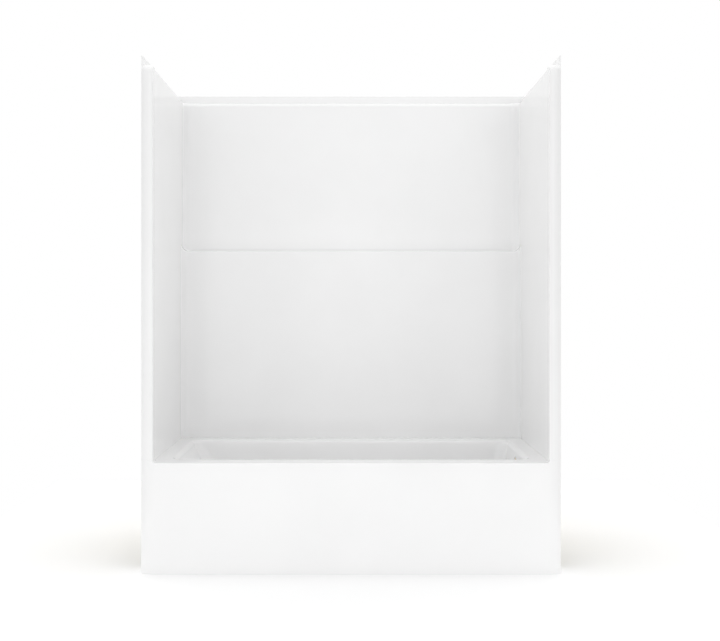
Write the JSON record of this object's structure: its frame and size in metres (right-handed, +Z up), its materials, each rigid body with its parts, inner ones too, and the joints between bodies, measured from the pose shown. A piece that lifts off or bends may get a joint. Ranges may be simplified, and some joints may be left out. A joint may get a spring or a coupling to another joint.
{
  "type": "bath and shower insert",
  "caption": "Alcove bath and shower insert with an apron-front tub, plain end walls and a back wall with a full-width shelf, in sections bolted together over foam seals.",
  "frame": {"origin": "on the floor, at the middle of the footprint", "axes": "+Z up, +Y from the open front to the back wall, +X towards the drain end, on the right seen from the front"},
  "size_m": [1.524, 0.813, 1.88],
  "materials": {
    "white_shell": "polished white moulded sheet, laminated behind",
    "foam_seal": "closed-cell foam strip",
    "zinc_steel": "zinc-plated steel",
    "plywood": "unfinished plywood",
    "softwood": "sawn softwood"
  },
  "bodies": {
    "root": {"basin": "white_shell", "deck_and_apron": "white_shell", "back_wall": "white_shell", "left_wall": "white_shell", "right_wall": "white_shell", "back_deck_seal": "foam_seal", "left_deck_seal": "foam_seal", "right_deck_seal": "foam_seal", "left_corner_seal": "foam_seal", "right_corner_seal": "foam_seal", "corner_bolts": "zinc_steel", "corner_washers": "zinc_steel", "corner_nuts": "zinc_steel", "deck_bolts": "zinc_steel", "deck_washers": "zinc_steel", "deck_nuts": "zinc_steel", "floor_board": "plywood", "left_runner": "softwood", "middle_runner": "softwood", "right_runner": "softwood", "front_deck_rail": "softwood", "back_deck_rail": "softwood", "left_deck_rail": "softwood", "right_deck_rail": "softwood", "left_apron_post": "softwood", "middle_apron_post": "softwood", "right_apron_post": "softwood", "left_back_post": "softwood", "right_back_post": "softwood", "left_grab_board": "plywood", "right_valve_board": "plywood", "lower_back_board": "plywood", "upper_back_board": "plywood", "shelf_rail": "softwood", "left_back_rib": "softwood", "right_back_rib": "softwood", "left_front_rib": "softwood", "left_rear_rib": "softwood", "right_front_rib": "softwood", "right_rear_rib": "softwood"}
  },
  "joints": []
}
